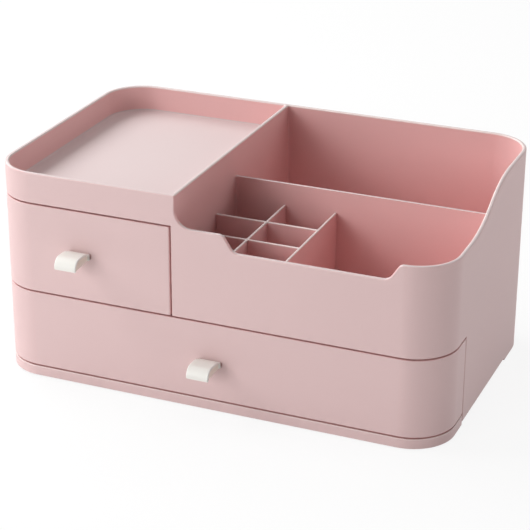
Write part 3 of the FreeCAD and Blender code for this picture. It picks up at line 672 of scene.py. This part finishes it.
@dataclass
class SlotCheeks:
    """The two ends that close a pull's slot beside its tongue, set back behind the drawer's face."""

    pull: str
    piece: str
    body: Body
    slot: Slot = Slot.PINK
    near: float = 7.15 * MM
    far: float = 8.65 * MM
    height: float = 2.4 * MM
    rise: float = 3.94 * MM
    setback: float = 0.7 * MM
    depth: float = 1.4 * MM
    edge_round: float = 0.15 * MM
    segments: int = 2

    def build(self, material: bpy.types.Material) -> list[bpy.types.Object]:
        """Makes the two ends as one piece.

        Args:
            material: the piece's material.

        Returns:
            The piece, in a list of its own.
        """
        low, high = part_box(self.pull)
        centre, reach = (low[0] + high[0]) / 2, (self.near + self.far) / 2
        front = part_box("housing")[0][1] + self.setback + self.depth / 2
        size = Matrix.Diagonal((self.far - self.near, self.depth, self.height, 1.0))
        form = bmesh.new()
        for side in (-1, 1):
            middle = Vector((centre + side * reach, front, low[2] + self.rise))
            bmesh.ops.create_cube(form, size=1.0, matrix=Matrix.Translation(middle) @ size)
        soften(form, form.edges[:], self.edge_round, self.segments)
        mesh = bpy.data.meshes.new(self.piece)
        form.to_mesh(mesh)
        form.free()
        piece = add_object(self.piece, mesh)
        finish_mesh(piece, self.body, material)
        return [piece]


@dataclass
class CarriedNodes:
    """Nodes of the frame that keep their own meshes and take a finish."""

    prefix: str
    slot: Slot

    def build(self, material: bpy.types.Material) -> list[bpy.types.Object]:
        """Gives the nodes their material.

        Args:
            material: the nodes' material.

        Returns:
            The nodes.
        """
        nodes = [node for name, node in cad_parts.items() if name.startswith(self.prefix)]
        for node in nodes:
            node.data.materials[0] = material
        return nodes


PARTS = (
    Housing("housing", "case_shell", Body.CASE),
    Drawer("small_drawer", "small_drawer_box", Body.SMALL_DRAWER),
    Drawer("large_drawer", "large_drawer_box", Body.LARGE_DRAWER),
    OpenPart("lipstick_grid", "lipstick_lattice", Body.CASE),
    MouldedPart("base_plate", "base_panel", Body.CASE, edge_round=0.2 * MM),
    Pull("small_drawer_handle", "small_pull", Body.SMALL_DRAWER),
    Pull("large_drawer_handle", "large_pull", Body.LARGE_DRAWER),
    SlotCheeks("small_drawer_handle", "small_slot_cheeks", Body.SMALL_DRAWER),
    SlotCheeks("large_drawer_handle", "large_slot_cheeks", Body.LARGE_DRAWER),
    CarriedNodes("foot_pad", Slot.RUBBER),
    CarriedNodes("base_screws", Slot.STEEL),
)


# Stage -------------------------------------------------------------------------------------------


@dataclass(frozen=True)
class SoftBox:
    """A square lamp that faces the object.

    Its turn is in degrees from the front round to the left, its tilt in degrees above the table, and its
    power in watts.
    """

    name: str
    turn: float
    tilt: float
    power: float
    size: float = 1.0
    distance: float = 1.9
    clearance: float = 0.02

    def build(self, aim: Vector) -> bpy.types.Object:
        """Makes the lamp, high enough for its lower edge to clear the floor.

        Args:
            aim: the place that it faces.

        Returns:
            The lamp.
        """
        turn, tilt = math.radians(self.turn), math.radians(self.tilt)
        away = Vector((-math.sin(turn) * math.cos(tilt), -math.cos(turn) * math.cos(tilt), math.sin(tilt)))
        place = aim + away * self.distance
        place.z = max(place.z, self.size / 2 + self.clearance)
        light = bpy.data.lights.new(self.name, "AREA")
        light.shape = "SQUARE"
        light.size = self.size
        light.energy = self.power
        lamp = add_object(self.name, light)
        lamp.location = place
        lamp.rotation_mode = "QUATERNION"
        lamp.rotation_quaternion = (aim - place).to_track_quat("-Z", "Y")
        return lamp


LAMPS = (
    SoftBox("key_left", 80.0, 40.0, 21.3),
    SoftBox("back_left", 120.0, 40.0, 18.4),
    SoftBox("low_front", 20.0, 8.0, 17.0),
    SoftBox("low_right", -110.0, 8.0, 9.6),
    SoftBox("low_left", 120.0, 8.0, 3.5),
    SoftBox("top", 0.0, 90.0, 8.4),
)


@dataclass
class Studio:
    """The camera, the pale floor, the lamps and the white surroundings.

    The camera and the lamps face the case's middle, which is given along Y.
    """

    middle: float
    aim_level: float = 66.0 * MM
    azimuth: float = math.radians(22.492)
    elevation: float = math.radians(23.686)
    roll: float = math.radians(0.261)
    distance: float = 1261.832 * MM
    shift_right: float = -2.028 * MM
    shift_up: float = -0.094 * MM
    lens: float = 123.07
    sensor: float = 36.0
    clip: tuple[float, float] = (0.05, 30.0)
    floor_size: float = 6.0
    floor_grey: float = 0.86
    floor_roughness: float = 0.9
    floor_white: float = 0.88
    ambience: float = 0.08

    @property
    def aim(self) -> Vector:
        """The place that the camera and the lamps face."""
        return Vector((0.0, self.middle, self.aim_level))

    def camera(self) -> bpy.types.Object:
        """Makes the camera.

        Returns:
            The camera.
        """
        turn, tilt = self.azimuth, self.elevation
        ahead = Vector((-math.sin(turn) * math.cos(tilt), math.cos(turn) * math.cos(tilt), -math.sin(tilt)))
        right = Vector((math.cos(turn), math.sin(turn), 0.0))
        up = right.cross(ahead)
        rolled_right = right * math.cos(self.roll) + up * math.sin(self.roll)
        rolled_up = up * math.cos(self.roll) - right * math.sin(self.roll)
        lens = bpy.data.cameras.new("camera")
        lens.lens = self.lens
        lens.sensor_width = self.sensor
        lens.clip_start, lens.clip_end = self.clip
        camera = add_object("camera", lens)
        place = self.aim - ahead * self.distance + rolled_right * self.shift_right + rolled_up * self.shift_up
        turned = Matrix((rolled_right, rolled_up, -ahead)).transposed().to_4x4()
        camera.matrix_world = Matrix.Translation(place) @ turned
        bpy.context.scene.camera = camera
        return camera

    def floor(self) -> bpy.types.Object:
        """Makes the floor, which shows nearly white to the camera and keeps a soft shadow.

        Returns:
            The floor.
        """
        plane = bmesh.new()
        bmesh.ops.create_grid(plane, x_segments=1, y_segments=1, size=self.floor_size / 2)
        mesh = bpy.data.meshes.new("floor")
        plane.to_mesh(mesh)
        plane.free()
        floor = add_object("floor", mesh)
        material, nodes, shader = new_material("white_table")
        shader.inputs["Base Color"].default_value = (self.floor_grey, self.floor_grey, self.floor_grey, 1.0)
        shader.inputs["Roughness"].default_value = self.floor_roughness
        white = nodes.add("ShaderNodeEmission", "white", Strength=1.0)
        blend = nodes.add("ShaderNodeMixShader")
        nodes.link(nodes.math("MULTIPLY", nodes.seen_rays(), self.floor_white), blend.inputs[0])
        nodes.link(shader.outputs[0], blend.inputs[1])
        nodes.link(white.outputs[0], blend.inputs[2])
        nodes.link(blend.outputs[0], material.node_tree.nodes["Material Output"].inputs["Surface"])
        mesh.materials.append(material)
        return floor

    def surroundings(self) -> None:
        """Sets the world: an even faint light that looks white."""
        world = bpy.data.worlds.new("surroundings")
        bpy.context.scene.world = world
        world.use_nodes = True
        nodes = NodeTree(world.node_tree)
        background = world.node_tree.nodes["Background"]
        background.inputs["Color"].default_value = (1.0, 1.0, 1.0, 1.0)
        strength = nodes.add("ShaderNodeMapRange", "strength", To_Min=self.ambience, To_Max=1.0)
        nodes.link(nodes.seen_rays(), strength.inputs["Value"])
        nodes.link(strength.outputs[0], background.inputs["Strength"])

    def build(self) -> None:
        """Sets up the whole stage."""
        self.camera()
        self.floor()
        self.surroundings()
        for lamp in LAMPS:
            lamp.build(self.aim)
        bpy.context.scene.view_settings.view_transform = "Standard"


def main() -> None:
    """Builds the stage and every piece, and reports them."""
    logging.basicConfig(level=logging.INFO, format="%(message)s")
    low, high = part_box("housing")
    Studio(middle=(low[1] + high[1]) / 2).build()
    groups = Groups(make_grain_group(), make_sheen_mask_group())
    materials = {slot: finish.build(groups) for slot, finish in FINISHES.items()}
    for part in PARTS:
        for piece in part.build(materials[part.slot]):
            LOG.info("%s: %d faces in %s", piece.name, len(piece.data.polygons), part.slot.value)


if __name__ == "__main__":
    main()
